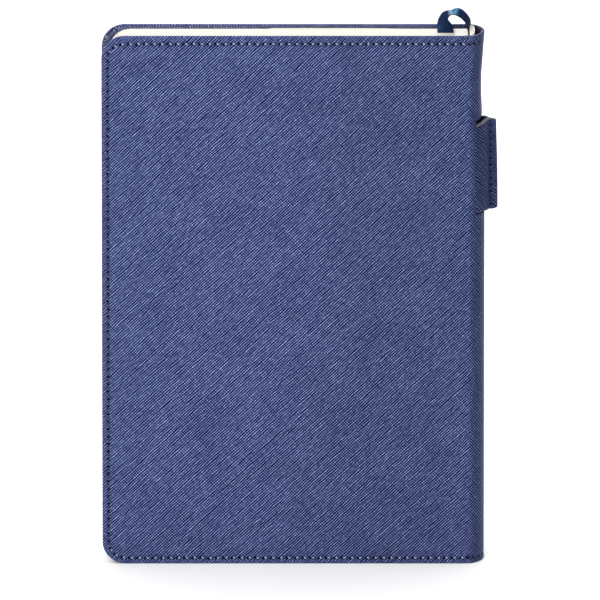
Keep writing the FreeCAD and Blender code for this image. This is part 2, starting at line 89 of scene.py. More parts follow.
BULGE = CREST - FOLD
SPINE_RADIUS = (FACE ** 2 + BULGE ** 2) / (2 * BULGE)
SPINE_CENTRE = CREST - SPINE_RADIUS
FOLD_ANGLE = math.asin(FACE / SPINE_RADIUS)
SPINE_ANGLE = FOLD_ANGLE - 1.5 / SPINE_RADIUS  # the folds end and the spine begins
SPINE_LENGTH = 2 * SPINE_RADIUS * FOLD_ANGLE
COVER_LENGTH = FOLD - FORE
SPINE_END = COVER_LENGTH + SPINE_LENGTH  # of the spine's run on the hide
SLIT_HALF = 7.25
DENT_CREST, DENT_SLIT = 2.35, 1.25  # depth of the dent behind the pen loop


def seam_shade(distance):
    """Painted shade along a seam: how dark the leather is painted at this distance from the seam's line,
    darkest in its groove.
    """
    return max(0.0, 1 - abs(distance))


def smooth(low, high, value):
    """0 at low, 1 at high and an even S between them; low may be the greater one."""
    share = min(max((value - low) / (high - low), 0.0), 1.0)
    return share * share * (3 - 2 * share)


# Meshes -------------------------

def placed(name, data):
    """A new object in the scene."""
    item = bpy.data.objects.new(name, data)
    bpy.context.scene.collection.objects.link(item)
    return item


def joined(name, pieces):
    """One object made of several."""
    with bpy.context.temp_override(active_object=pieces[0], selected_editable_objects=pieces):
        bpy.ops.object.join()
    pieces[0].name = name
    return pieces[0]


def tube(first, rings, sides):
    """Faces of a closed tube whose points go ring by ring, from number first on: its sides, then its ends."""
    faces = []
    for ring in range(rings - 1):
        for place in range(sides):
            a, b = first + ring * sides + place, first + ring * sides + (place + 1) % sides
            faces.append((a, b, b + sides, a + sides))
    last = first + (rings - 1) * sides
    return [*faces, list(range(first, first + sides))[::-1], list(range(last, last + sides))]


def build(name, points, faces, materials, grain=None, face_slots=None, shade=None, sharp=35):
    """A mesh object from points in millimetres; grain gives each point its place on the hide, and shade its
    painted shade or painted highlight."""
    mesh = bpy.data.meshes.new(name)
    mesh.from_pydata([Vector(point) * MM for point in points], [], faces)
    for item in materials:
        mesh.materials.append(item)
    if face_slots is not None:
        mesh.polygons.foreach_set("material_index", face_slots)
    if grain is not None:
        layer = mesh.uv_layers.new(name="grain")
        for loop in mesh.loops:
            layer.data[loop.index].uv = grain[loop.vertex_index]
    if shade is not None:
        layer = mesh.attributes.new("shade", "FLOAT", "POINT")
        layer.data.foreach_set("value", shade)
    mesh.polygons.foreach_set("use_smooth", [True] * len(mesh.polygons))
    mesh.set_sharp_from_angle(angle=math.radians(sharp))
    mesh.validate()
    return placed(name, mesh)


def face_outwards(item):
    """Turns all faces of a closed mesh outwards."""
    bpy.context.view_layer.objects.active = item
    item.select_set(True)
    bpy.ops.object.mode_set(mode="EDIT")
    bpy.ops.mesh.select_all(action="SELECT")
    bpy.ops.mesh.normals_make_consistent(inside=False)
    bpy.ops.object.mode_set(mode="OBJECT")
    item.select_set(False)
    return item


def corner_arc(x, z, fore, end, steps):
    """A quarter turn about (x, z): from end above it, or below where that is negative, to fore beside it."""
    angles = [math.pi / 2 * step / steps for step in range(steps + 1)]
    return [(x - fore * math.sin(angle), z + end * math.cos(angle)) for angle in angles]


def u_ring(outline, inset, head_in, columns):
    """Points (x, z) round the tail, fore and head sides of a panel, inset from its outline."""
    left, right, low, high, corner = outline
    lower = [(right - column, low + inset) for column in columns]
    lower += corner_arc(left + corner, low + corner, corner - inset, inset - corner, 8)
    upper = [(right - column, high - head_in) for column in columns]
    upper += corner_arc(left + corner, high - corner, corner - inset, corner - head_in, 8)
    return lower + upper[::-1]


def even_columns(width, corner, pitch=8.0, near=()):
    """Distances from a panel's spine side, with extra ones near it."""
    start = near[-1] if near else 0.0
    count = max(2, round((width - corner - start) / pitch))
    rest = [start + (width - corner - start) * step / count for step in range(1, count)]
    return [0.0, *near, *rest]


def hide_place(side, x, z, depth=0.0):
    """Where a point of a cover lies on the hide, in millimetres round the book from the back fore edge."""
    if side == BACK:
        return x - FORE + depth, z + depth
    return SPINE_END + FOLD - x + depth, z + depth


def panel(name, side, depth, section, outline, materials, columns, edge_slot=0):
    """A closed panel: section lists (inset, depth) from its inner face round its edge to its outer face, and
    outline is its fore and spine sides, its tail and head and the radius of its corners.
    Insets past the seam are wider at the head, where the seam lies further in."""
    points, grain, shade = [], [], []
    for inset, sink in section:
        head_in = inset * SEAM_HEAD_IN / SEAM_IN if inset > 1 else inset
        for x, z in u_ring(outline, inset, head_in, columns):
            points.append((x, side * (FACE - depth - sink), z))
            grain.append(hide_place(side, x, z, sink))
            # painted shade along the seam's groove
            shade.append(seam_shade(inset - SEAM_IN))
    size = len(points) // len(section)
    faces, slots = [], []
    for ring in range(len(section) - 1):
        is_edge = min(section[ring][0], section[ring + 1][0]) < 0.01
        for place in range(size - 1):
            a, b = ring * size + place, (ring + 1) * size + place
            faces.append((a, a + 1, b + 1, b))
            slots.append(edge_slot if is_edge else 0)
    for start in (0, (len(section) - 1) * size):
        for place in range(size // 2 - 1):
            far = start + size - 1 - place
            faces.append((start + place, start + place + 1, far - 1, far))
            slots.append(0)
    lower = [ring * size for ring in range(len(section))]
    faces.append(lower + [start + size - 1 for start in lower[::-1]])
    slots.append(edge_slot)
    return face_outwards(build(name, points, faces, materials, grain, slots, shade))


def wall(name, curve, spread, rows, thickness, materials, hide_start, face_in=0, gloom=None):
    """A closed sheet that rises from tail to head: curve(t, z) gives (x, y) and its outward direction;
    rows lists (z, sink) of the outer skin, and thickness(t) its depth."""
    outer, inner, grain, shade = [], [], [], []
    for z, sink in rows:
        run, last = hide_start, None
        for t in spread:
            (x, y), (nx, ny) = curve(t, z)
            run += 0.0 if last is None else math.dist(last, (x, y))
            last = (x, y)
            outer.append((x - nx * sink, y - ny * sink, z))
            inner.append((x - nx * thickness(t), y - ny * thickness(t), z))
            grain.append((run, z + sink))
            # Painted shade in the seams' grooves, and where gloom adds more.
            shade.append(max(seam_shade(z - SEAM_TAIL), seam_shade(z - SEAM_HEAD), gloom(t, z) if gloom else 0.0))
    width, height = len(spread), len(rows)
    count = len(outer)
    faces, slots = [], []
    for row in range(height - 1):
        for place in range(width - 1):
            a = row * width + place
            faces.append((a, a + 1, a + width + 1, a + width))
            faces.append((count + a, count + a + width, count + a + width + 1, count + a + 1))
            slots += [0, face_in]
    rim = [(a, a + width) for row in range(height - 1) for a in (row * width, row * width + width - 1)]
    rim += [(a, a + 1) for place in range(width - 1) for a in (place, (height - 1) * width + place)]
    faces += [(a, b, count + b, count + a) for a, b in rim]
    slots += [0] * len(rim)
    return face_outwards(build(name, outer + inner, faces, materials, grain + grain, slots, shade + shade))


# Materials ----------------------

def srgb(red, green, blue):
    """A linear colour from 0-255 display values."""
    def linear(value):
        value /= 255
        return value / 12.92 if value <= 0.04045 else ((value + 0.055) / 1.055) ** 2.4
    return (linear(red), linear(green), linear(blue), 1.0)


class Finish:
    """A material under construction: node() adds a node, and sockets given as inputs are linked."""

    def __init__(self, name, roughness=0.6, **constants):
        self.material = bpy.data.materials.new(name)
        self.material.use_nodes = True
        self.tree = self.material.node_tree
        self.shader = self.tree.nodes["Principled BSDF"]
        self.shader.inputs["Roughness"].default_value = roughness
        for key, value in constants.items():
            self.shader.inputs[key.replace("_", " ")].default_value = value

    def node(self, kind, inputs=None, **settings):
        made = self.tree.nodes.new(kind)
        for key, value in settings.items():
            setattr(made, key, value)
        for key, value in (inputs or {}).items():
            if isinstance(value, bpy.types.NodeSocket):
                self.tree.links.new(value, made.inputs[key])
            else:
                made.inputs[key].default_value = value
        return made

    def math(self, operation, first, second=0.0, third=0.0):
        return self.node("ShaderNodeMath", {0: first, 1: second, 2: third},
                         operation=operation).outputs[0]

    def times(self, value, factor):
        return self.math("MULTIPLY", value, factor)

    def scaled(self, value, factor, plus):
        """value * factor + plus."""
        return self.math("MULTIPLY_ADD", value, factor, plus)

    def wave(self, value, pitch):
        """A sine of this pitch."""
        return self.math("SINE", self.times(value, 2 * math.pi / pitch))

    def noise(self, place, scale, detail=2.0, roughness=0.5):
        return self.node("ShaderNodeTexNoise", {
            "Vector": place, "Scale": scale, "Detail": detail, "Roughness": roughness}).outputs["Fac"]

    def ramp(self, factor, *stops):
        made = self.node("ShaderNodeValToRGB", {"Fac": factor})
        ramp = made.color_ramp
        while len(ramp.elements) < len(stops):
            ramp.elements.new(0.5)
        for element, (place, colour) in zip(ramp.elements, stops):
            element.position, element.color = place, colour
        return made.outputs["Color"]

    def range(self, value, low, high, to_low=0.0, to_high=1.0):
        return self.node("ShaderNodeMapRange", {
            "Value": value, "From Min": low, "From Max": high, "To Min": to_low, "To Max": to_high},
            interpolation_type="SMOOTHSTEP").outputs["Result"]

    def mix(self, factor, first, second):
        made = self.node("ShaderNodeMix", {"Factor": factor, 6: first, 7: second}, data_type="RGBA")
        return made.outputs[2]

    def surface(self, colour, height=None, distance=0.0001, strength=1.0, roughness=None):
        self.tree.links.new(colour, self.shader.inputs["Base Color"])
        if roughness is not None:
            self.tree.links.new(roughness, self.shader.inputs["Roughness"])
        if height is not None:
            bump = self.node("ShaderNodeBump", {"Height": height, "Distance": distance,
                                                "Strength": strength})
            self.tree.links.new(bump.outputs["Normal"], self.shader.inputs["Normal"])
        return self.material

    def parts(self, place):
        """The x, y and z of a place."""
        return self.node("ShaderNodeSeparateXYZ", {0: place}).outputs

    def shade(self):
        """How much painted shade the point has, or on thread how much painted highlight."""
        return self.node("ShaderNodeAttribute", attribute_name="shade").outputs["Fac"]

    def grain(self):
        """The point's place on the hide or page, in millimetres, and its two coordinates."""
        place = self.node("ShaderNodeUVMap", uv_map="grain").outputs["UV"]
        x, y, _ = self.parts(place)
        return place, x, y

    def solid_place(self):
        """The point's place in the object, in millimetres."""
        place = self.node("ShaderNodeTexCoord").outputs["Object"]
        return self.node("ShaderNodeVectorMath", {0: place, 1: (1 / MM,) * 3},
                         operation="MULTIPLY").outputs["Vector"]


# Pitch of the ruled lines, the share of it that is ink, and the ink.
GRID_ROWS = 7.0, 0.035, srgb(150, 165, 190)
GRID_COLUMNS = 19.0, 0.016, srgb(196, 150, 140)
GRAIN_SLOPE = math.radians(43.5)
RIDGE_PITCH = 0.87
LEAF_LINES = 0.16  # pitch of the lines on the pages' cut edges
SATIN_RIBS = 0.42
TWIST_PITCH = 0.55


def slanted(finish, along, across, slope):
    """Distances over and along ridges that rise at a slope."""
    cosine, sine = math.cos(slope), math.sin(slope)
    over = finish.math("SUBTRACT", finish.times(across, cosine), finish.times(along, sine))
    length = finish.math("ADD", finish.times(along, cosine), finish.times(across, sine))
    return over, length


def streaks(finish, over, length, pitch, reach, patch, detail=1.0):
    """Noise that is drawn out along the ridges."""
    place = finish.node("ShaderNodeCombineXYZ", {
        0: finish.times(over, 1 / pitch), 1: finish.times(length, 1 / reach), 2: patch})
    return finish.noise(place.outputs[0], 1.0, detail)


def ridges(finish, over, length, patch, pitch):
    """Pressed ridges as a height about 0: straight, with a spacing and strength that change."""
    drift = finish.times(streaks(finish, over, length, 1.7, 8.0, patch, 1.5), 1.05)
    phase = finish.scaled(over, 1 / pitch, drift)
    wave = finish.times(finish.wave(phase, 1), 0.5)
    strength = finish.range(streaks(finish, over, length, 1.2, 2.4, patch + 3.0), 0.32, 0.66, 0.74, 1.12)
    return finish.times(wave, strength)


def cross_grain(name, tones, gloss, depth=1.0, slope=GRAIN_SLOPE, pitch=RIDGE_PITCH):
    """Cross-grain leather: slanted ridges broken by a weaker family that slants the other way and is the
    stronger one round the spine. The shade attribute carries painted shade, and the leather is painted darker
    towards and round the spine."""
    finish = Finish(name, roughness=gloss, Specular_IOR_Level=0.06)
    place, along, across = finish.grain()
    rising = slanted(finish, along, across, slope)
    first = ridges(finish, *rising, 0.0, pitch)
    second = ridges(finish, *slanted(finish, along, across, -slope - 0.06), 31.0, pitch)
    wander = finish.math("ADD", along, finish.scaled(finish.noise(place, 0.03, 1.0), 5.0, -2.5))
    to_spine = finish.range(wander, COVER_LENGTH - 0.9, COVER_LENGTH + 2.7)
    from_spine = finish.range(wander, SPINE_END - 2.7, SPINE_END + 0.9)
    turn = finish.math("SUBTRACT", to_spine, from_spine)
    share = finish.scaled(turn, 0.54, 0.22)
    weave = finish.node("ShaderNodeMix", {"Factor": share, 2: first, 3: second}).outputs[0]
    beads = finish.math("SUBTRACT", streaks(finish, *rising, 0.5, 0.8, 12.0, 2.0), 0.5)
    relief = finish.scaled(weave, finish.scaled(turn, -0.16, 0.95), 0.44)
    height = finish.scaled(beads, 0.55, relief)
    patch = finish.noise(place, 0.06, 3.0)
    tone = finish.math("ADD", height, finish.scaled(patch, 0.12, -0.06))
    colour = finish.ramp(tone, *tones)
    # Painted shade: the covers are painted darker towards the spine, and the spine darker still where the
    # grain turns round it.
    painted_falloff = finish.math("SUBTRACT", finish.range(along, COVER_LENGTH - 85, COVER_LENGTH - 35),
                          finish.range(along, SPINE_END + 35, SPINE_END + 85))
    dim = finish.times(finish.scaled(turn, -0.26, 1.0), finish.scaled(finish.shade(), -0.5, 1.0))
    dim = finish.times(dim, finish.scaled(painted_falloff, -0.14, 0.98))
    dark = finish.node("ShaderNodeVectorMath", {0: colour}, operation="SCALE")
    finish.tree.links.new(dim, dark.inputs["Scale"])
    rough = finish.scaled(height, -0.14, gloss + 0.06)
    return finish.surface(dark.outputs["Vector"], height, 0.00014 * depth, 0.8, rough)


def plain_leather(name, dark, light, gloss):
    """Smooth or cut leather, such as an edge or a raw end."""
    finish = Finish(name, roughness=gloss, Specular_IOR_Level=0.08)
    place = finish.solid_place()
    fine = finish.noise(place, 1.6, 4.0, 0.65)
    return finish.surface(finish.ramp(fine, (0.3, dark), (0.7, light)), fine, 0.00008, 0.5)


def paper_finish(name, sheet_colour, ruled):
    """Uncoated paper; a ruled page has a generic grid of faint columns and rows."""
    finish = Finish(name, roughness=0.82, Specular_IOR_Level=0.25)
    fibres = finish.noise(finish.solid_place(), 1.5, 5.0, 0.7)
    low = tuple(0.90 * part for part in sheet_colour[:3]) + (1.0,)
    colour = finish.ramp(fibres, (0.25, low), (0.75, sheet_colour))
    if ruled:
        _, along, across = finish.grain()
        for value, (pitch, share, ink) in ((across, GRID_ROWS), (along, GRID_COLUMNS)):
            step = finish.math("FRACT", finish.math("DIVIDE", value, pitch))
            line = finish.math("LESS_THAN", step, share)
            colour = finish.mix(finish.times(line, 0.75), colour, ink)
    return finish.surface(colour, fibres, 0.00003, 0.5)


def page_edge_finish(name, light, dark):
    """The cut edges of many leaves: fine lines across the block's thickness."""
    finish = Finish(name, roughness=0.85, Specular_IOR_Level=0.2)
    place = finish.solid_place()
    _, y, _ = finish.parts(place)
    waver = finish.noise(place, 0.4, 2.0)
    phase = finish.scaled(y, 2 * math.pi / LEAF_LINES, finish.times(waver, 6.0))
    lines = finish.scaled(finish.math("SINE", phase), 0.5, 0.5)
    blotch = finish.noise(place, 1.1, 3.0)
    mixed = finish.scaled(lines, 0.5, finish.times(blotch, 0.5))
    return finish.surface(finish.ramp(mixed, (0.15, dark), (0.6, light)), lines, 0.00004, 0.4)


def thread_finish(name, dark, light):
    """Twisted thread; the shade attribute carries a painted highlight where it rises out of its hole."""
    finish = Finish(name, roughness=0.5, Specular_IOR_Level=0.3)
    x, y, z = finish.parts(finish.solid_place())
    lay = finish.math("ADD", finish.math("ADD", x, z), y)
    plies = finish.scaled(finish.wave(lay, TWIST_PITCH), 0.5, 0.5)
    tone = finish.scaled(plies, 0.03, finish.shade())
    return finish.surface(finish.ramp(tone, (0.0, dark), (0.8, light)), plies, 0.00006, 0.7)


def woven_finish(name, dark, light, pitch):
    """An open plain weave, for the cloth strip on the sewn spine."""
    finish = Finish(name, roughness=0.9)
    _, y, z = finish.parts(finish.solid_place())
    rows = [finish.math("ABSOLUTE", finish.wave(axis, 2 * pitch)) for axis in (y, z)]
    weave = finish.math("MAXIMUM", *rows)
    return finish.surface(finish.ramp(weave, (0.4, dark), (0.9, light)), weave, 0.0001, 0.8)


# Millimetres past the head where the painted sheen starts, ends and turns paler: a highlight painted into the
# satin's colour.
RIBBON_PAINTED_SHEEN = (9.8, 10.8), (13.4, 14.6), (11.7, 13.0)


def satin_finish(name, dark, light, highlight_near, highlight_far):
    """Ribbon satin: fine ribs across it, bound edges, and a painted highlight on its bend; its place is
    (across, along) in millimetres."""
    finish = Finish(name, roughness=0.36, Metallic=0.75, Specular_IOR_Level=0.12,
                    Specular_Tint=srgb(60, 92, 140), Anisotropic=0.4)
    place, across, along = finish.grain()
    ribs = finish.scaled(finish.wave(along, SATIN_RIBS), 0.5, 0.5)
    bound = finish.range(finish.math("ABSOLUTE", across), 2.6, 3.0)
    streak = finish.noise(place, 1.8, 3.0)
    tone = finish.scaled(ribs, 0.25, finish.scaled(streak, 0.5, 0.1))
    painted_sheen = finish.math("SUBTRACT", finish.range(along, *RIBBON_PAINTED_SHEEN[0]),
                           finish.range(along, *RIBBON_PAINTED_SHEEN[1]))
    painted_highlight = finish.mix(finish.range(along, *RIBBON_PAINTED_SHEEN[2]), highlight_near, highlight_far)
    colour = finish.mix(painted_sheen, finish.ramp(tone, (0.2, dark), (0.8, light)), painted_highlight)
    colour = finish.mix(bound, colour, dark)
    return finish.surface(colour, finish.math("ADD", ribs, bound), 0.00005, 0.5)


HIDE = cross_grain("cross_grain_leather", (
    (0.08, srgb(3, 7, 36)), (0.34, srgb(24, 33, 80)), (0.56, srgb(62, 74, 121)),
    (0.78, srgb(112, 125, 177)), (0.98, srgb(176, 190, 242))), 0.42)
HIDE_INSIDE = cross_grain("cross_grain_lining", (
    (0.1, srgb(2, 4, 26)), (0.34, srgb(20, 24, 60)), (0.56, srgb(68, 72, 110)),
    (0.76, srgb(132, 136, 174)), (0.94, srgb(200, 204, 236))), 0.5, 0.8, -GRAIN_SLOPE, 0.7)
RAW_END = plain_leather("raw_leather_end", srgb(44, 44, 56), srgb(142, 142, 146), 0.8)
PAGE = paper_finish("ruled_page", srgb(248, 243, 228), ruled=True)
PAGE_EDGE = page_edge_finish("page_edges", srgb(220, 218, 211), srgb(203, 199, 189))
# The gutter's page edges are painted lighter than the others: painted light against the shade that the ribbon
# and the refill's roll cast there.
GUTTER_EDGE = page_edge_finish("gutter_edges", srgb(252, 249, 242), srgb(240, 235, 224))
CORE = paper_finish("rolled_core", srgb(206, 200, 190), ruled=False)
CARD = paper_finish("refill_card", srgb(250, 246, 236), ruled=False)
BOARD = paper_finish("grey_board", srgb(160, 150, 136), ruled=False)
# The seam thread's light colour is a painted highlight.
THREAD_BLUE = thread_finish("seam_thread", srgb(24, 33, 84), srgb(180, 192, 242))
THREAD_LINEN = thread_finish("linen_thread", srgb(196, 186, 160), srgb(240, 232, 212))
# Needle holes are near-black lenses: painted shade for the holes.
HOLE = plain_leather("needle_hole", srgb(1, 2, 14), srgb(5, 8, 32), 0.8)
MULL = woven_finish("open_mull", srgb(150, 142, 122), srgb(224, 216, 196), 0.7)
# The last two colours are the painted highlight on the ribbon's bend.
SATIN = satin_finish("ribbon_satin", srgb(24, 38, 62), srgb(42, 66, 104), srgb(67, 94, 112),
                     srgb(138, 167, 186))


# Covers -------------------------

EDGE_ROUND = [(0.0, 0.45), (0.06, 0.22), (0.2, 0.07), (0.42, 0.0)]  # (inset, depth) of the outer edge
GROOVE = [(-0.95, 0.0), (-0.5, 0.07), (0.0, 0.17), (0.5, 0.07), (0.95, 0.0)]
LINING_IN = 0.35  # the lining stops this short of the leather's edge
LINING_ROUND = [(0.0, 0.1), (0.1, 0.0)]
MIDDLE_ROWS = [TAIL + 8 + 8 * step for step in range(25)]


def seam_relief(inset):
    """The groove of a seam at this inset, as part of a panel's section."""
    return [(inset + away, sink) for away, sink in GROOVE]


def cover_panels(side):
    """The leather and the lining of one cover, as separate closed pieces that ride with it."""
    word = WORDS[side]
    columns = even_columns(PANEL_END - FORE, CORNER)
    leather_section = [(0.6, COVER_THICK), (0.22, COVER_THICK - 0.14), (0.06, COVER_THICK - 0.32),
                       (0.0, COVER_THICK - 0.55), *EDGE_ROUND, *seam_relief(SEAM_IN),
                       (SEAM_IN + 2.6, -0.04), (8.2, -0.08)]
    outline = (FORE, PANEL_END, TAIL, HEAD, CORNER)
    leather = panel(f"{word}_cover_skin", side, 0.0, leather_section, outline, [HIDE], columns)
    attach(leather, f"{word}_cover")
    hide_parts(f"{word}_cover_leather")

    lining_section = [(0.42, 0.0), (LINING_IN, 0.04), (LINING_IN, LINING - 0.12), (0.42, LINING - 0.05),
                      (0.6, LINING)]
    lining = panel(f"{word}_lining_skin", side, COVER_THICK, lining_section, outline, [HIDE_INSIDE],
                   columns)
    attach(lining, f"{word}_cover")
    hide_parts(f"{word}_cover_lining")


def fold_curve(side, outer_radius, start_depth):
    """Round the fold line: from the cover's flat face to the spine's arc."""
    start = Vector((PANEL_END, side * (FACE - start_depth)))
    end = Vector((SPINE_CENTRE + outer_radius * math.cos(SPINE_ANGLE),
                  side * outer_radius * math.sin(SPINE_ANGLE)))
    slope = Vector((math.sin(SPINE_ANGLE), -side * math.cos(SPINE_ANGLE)))
    reach = (start.y - end.y) / slope.y
    corner = end + slope * reach

    def curve(t, _):
        place = start * (1 - t) ** 2 + corner * 2 * t * (1 - t) + end * t ** 2
        along = ((corner - start) * (1 - t) + (end - corner) * t).normalized()
        return (place.x, place.y), (-side * along.y, side * along.x)
    return curve


def end_rows(low, high, edge, grooves, middle):
    """Rows of (z, sink) with rounded ends and seam grooves, for a wall that rises from tail to head."""
    rows = [(low + inset, sink) for inset, sink in edge]
    if grooves:
        rows += [(SEAM_TAIL + away, sink) for away, sink in GROOVE]
        rows += [(SEAM_HEAD + away, sink) for away, sink in GROOVE]
    rows += [(high - inset, sink) for inset, sink in edge]
    rows += [(z, 0.0) for z in middle]
    return sorted(rows)


def folds(side):
    """The leather and the lining where they turn round the fold line."""
    word = WORDS[side]
    spread = [step / 12 for step in range(13)]
    hide_start = COVER_LENGTH - 2.0 if side == BACK else SPINE_END + 2.0
    leather = wall(f"{word}_fold_skin", fold_curve(side, SPINE_RADIUS, 0.0), spread,
                   end_rows(TAIL, HEAD, EDGE_ROUND, True, MIDDLE_ROWS),
                   lambda t: COVER_THICK + (LEATHER - COVER_THICK) * t, [HIDE], hide_start)
    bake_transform(leather)
    lining = wall(f"{word}_fold_lining", fold_curve(side, SPINE_RADIUS - LEATHER - 0.1, COVER_THICK), spread,
                  end_rows(TAIL + LINING_IN, HEAD - LINING_IN, LINING_ROUND, False, MIDDLE_ROWS),
                  lambda t: LINING, [HIDE_INSIDE], hide_start)
    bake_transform(lining)


# Spine --------------------------

SLACK, TUG = 1.4, 0.35  # how far the crest is pulled in above the pen loop and at its end


def slack(z):
    """How far the crest is pulled in at this height, where the loop's ends tug at the leather."""
    high = loop_high.z
    above = SLACK * smooth(HEAD + 4, HEAD - 18, z) * smooth(high - 2, high + 8, z)
    return above + TUG * smooth(high + 10, high, z) * smooth(high - 2, high, z)


def dent(z, half):
    """Depth of the dent behind the pen loop at this height and distance from the middle plane."""
    share = smooth(loop_low.z - 1.2, loop_low.z + 0.4, z) * smooth(loop_high.z + 2.4, loop_high.z + 0.4, z)
    return share * (DENT_SLIT + (DENT_CREST - DENT_SLIT) * (1 - (half / SLIT_HALF) ** 2))


def slit_shadow(angle, z):
    """How dark the leather is between the slits, where the pen loop shades it."""
    half = abs(SPINE_RADIUS * math.sin(angle))
    return 1.8 * min(dent(z, half) / DENT_SLIT, 1.0) if half < SLIT_HALF else 0.0


def spine_curve(radius, slit):
    """The spine's arc, from the back fold to the front one; with slit, it steps down at the slits."""
    def curve(angle, z):
        half = abs(SPINE_RADIUS * math.sin(angle))
        inside = half < SLIT_HALF
        depth = dent(z, half) if inside else (0.0 if slit else dent(z, SLIT_HALF) * 0.5)
        depth += slack(z) * math.cos(angle * 1.45) ** 2
        reach = radius - depth
        direction = (math.cos(angle), math.sin(angle))
        return (SPINE_CENTRE + reach * direction[0], reach * direction[1]), direction
    return curve


def spine_pieces():
    """The spine's leather, with its slits and the dent behind the pen loop, and its lining."""
    slit_angle = math.asin(SLIT_HALF / SPINE_RADIUS)
    steps = 26
    spread = [-SPINE_ANGLE + 2 * SPINE_ANGLE * step / steps for step in range(steps + 1)]
    spread += [sign * (slit_angle + away) for sign in (-1, 1) for away in (-0.003, 0.003)]
    spread.sort()
    fine = [centre + step * 0.35 for centre in (loop_low.z, loop_high.z) for step in range(-5, 6)]
    rows = end_rows(TAIL, HEAD, EDGE_ROUND, True, MIDDLE_ROWS + fine)
    skin = wall("spine_skin", spine_curve(SPINE_RADIUS, True), spread, rows, lambda t: LEATHER,
                [HIDE, HIDE_INSIDE], COVER_LENGTH + 1.5, face_in=1, gloom=slit_shadow)
    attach(skin, "spine")
    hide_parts("spine_leather")
    # Painted shade: the lining inside the spine is painted dark all over.
    lining = wall("spine_lining_skin", spine_curve(SPINE_RADIUS - LEATHER - 0.1, False), spread,
                  end_rows(TAIL + LINING_IN, HEAD - LINING_IN, LINING_ROUND, False, MIDDLE_ROWS + fine),
                  lambda t: LINING, [HIDE_INSIDE], COVER_LENGTH + 1.5, gloom=lambda angle, z: 1.3)
    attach(lining, "spine")
    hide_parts("spine_lining")


# Sleeves ------------------------

def sleeve(side):
    """The pocket that holds the refill's card: sewn on three sides, its mouth bowed a little."""
    word = WORDS[side]
    width = sleeve_high.x - sleeve_low.x
    section = [(4.6, 0.42), (4.0, 0.4), (3.6, 0.0), (0.75, 0.0), (0.7, 0.08), (0.7, SLEEVE_THICK - 0.2),
               (0.78, SLEEVE_THICK - 0.06), (0.95, SLEEVE_THICK),
               *[(inset, SLEEVE_THICK - sink * 0.6) for inset, sink in seam_relief(SEAM_IN)],
               (8.0, SLEEVE_THICK)]
    pocket = panel(f"{word}_sleeve_skin", side, SLEEVE_DEPTH, section,
                   (FORE, FORE + width, TAIL, HEAD, CORNER), [HIDE_INSIDE], even_columns(width, CORNER))
    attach(pocket, f"{word}_cover")
    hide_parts(f"{word}_sleeve")


# Seams --------------------------

def seam_path():
    """The seam's line (x, z) round a cover: in from the fold along the tail, up the fore edge, back out
    along the head."""
    radius, radius_head = CORNER - SEAM_IN, CORNER - SEAM_HEAD_IN
    seam_end = PANEL_END + 1.2
    path = [(seam_end, SEAM_TAIL), (FORE + CORNER, SEAM_TAIL)]
    path += corner_arc(FORE + CORNER, TAIL + CORNER, radius, -radius, 12)[1:]
    path += corner_arc(FORE + CORNER, HEAD - CORNER, radius, radius_head, 12)[::-1]
    return [*path, (seam_end, SEAM_HEAD)]


def paced(path, pitch):
    """Points at an even pitch along a line of points."""
    lengths = [math.dist(a, b) for a, b in zip(path, path[1:])]
    count = round(sum(lengths) / pitch)
    step = sum(lengths) / count
    places, travelled, index = [], 0.0, 0
    for number in range(count + 1):
        target = min(number * step, sum(lengths) - 1e-6)
        while travelled + lengths[index] < target:
            travelled += lengths[index]
            index += 1
        share = (target - travelled) / lengths[index]
        a, b = path[index], path[index + 1]
        places.append(tuple(p + (q - p) * share for p, q in zip(a, b)))
    return places


STITCH_SLANT = 0.1
STITCH_RADIUS = 0.25


def stitches(name, holes, outward, sunk=0.16, painted_highlight=1.0):
    """Thread that rises out of one hole and dives into the next: holes and outward directions. The last
    argument sets how bright a highlight is painted where the thread rises."""
    points, faces, shade = [], [], []
    rings, sides = 7, 8
    for (start, end), up in zip(zip(holes, holes[1:]), outward):
        start, end, up = Vector(start), Vector(end), Vector(up)
        across = up.cross(end - start).normalized()
        first = len(points)
        heading = (end - start).normalized().x
        # Painted highlight where the thread rises: brightest on stitches that run level, always on the same
        # side of the stitch whichever way the seam runs.
        bright = painted_highlight * (0.12 + 0.88 * abs(heading))
        for ring in range(rings):
            share = ring / (rings - 1)
            risen = share if heading > -0.3 else 1 - share
            lift = -sunk - 0.16 + 0.3 * math.sin(math.pi * share) ** 0.6
            centre = start.lerp(end, 0.13 + 0.74 * share) + up * lift
            centre += across * STITCH_SLANT * (1 - 2 * share)
            girth = STITCH_RADIUS * (0.62 if ring in (0, rings - 1) else 1.0)
            for place in range(sides):
                angle = 2 * math.pi * place / sides
                points.append(centre + across * girth * math.cos(angle) + up * girth * math.sin(angle) * 0.8)
                shade.append(bright * smooth(0.5, 0.2, risen) if risen > 0.01 else 0.0)
        faces += tube(first, rings, sides)
    item = build(name, points, faces, [THREAD_BLUE], shade=shade, sharp=80)
    return face_outwards(item)


def needle_holes(name, holes, outward, sunk=0.16, radius=0.55):
    """The dark hole at each end of a stitch, as a shallow near-black lens in the seam's groove: painted shade
    for the hole.
    """
    points, faces = [], []
    sides = 10
    for hole, up in zip(holes, outward):
        hole, up = Vector(hole), Vector(up)
        east = up.cross(Vector((0.3, 0.2, 1.0))).normalized()
        north = up.cross(east)
        first = len(points)
        for lift, share in ((-sunk - 0.2, 1.0), (-sunk + 0.09, 1.0), (-sunk + 0.1, 0.6)):
            for place in range(sides):
                angle = 2 * math.pi * place / sides
                points.append(hole + up * lift + (east * math.cos(angle) + north * math.sin(angle))
                              * radius * share)
        faces += tube(first, 3, sides)
    item = build(name, points, faces, [HOLE], sharp=60)
    return face_outwards(item)


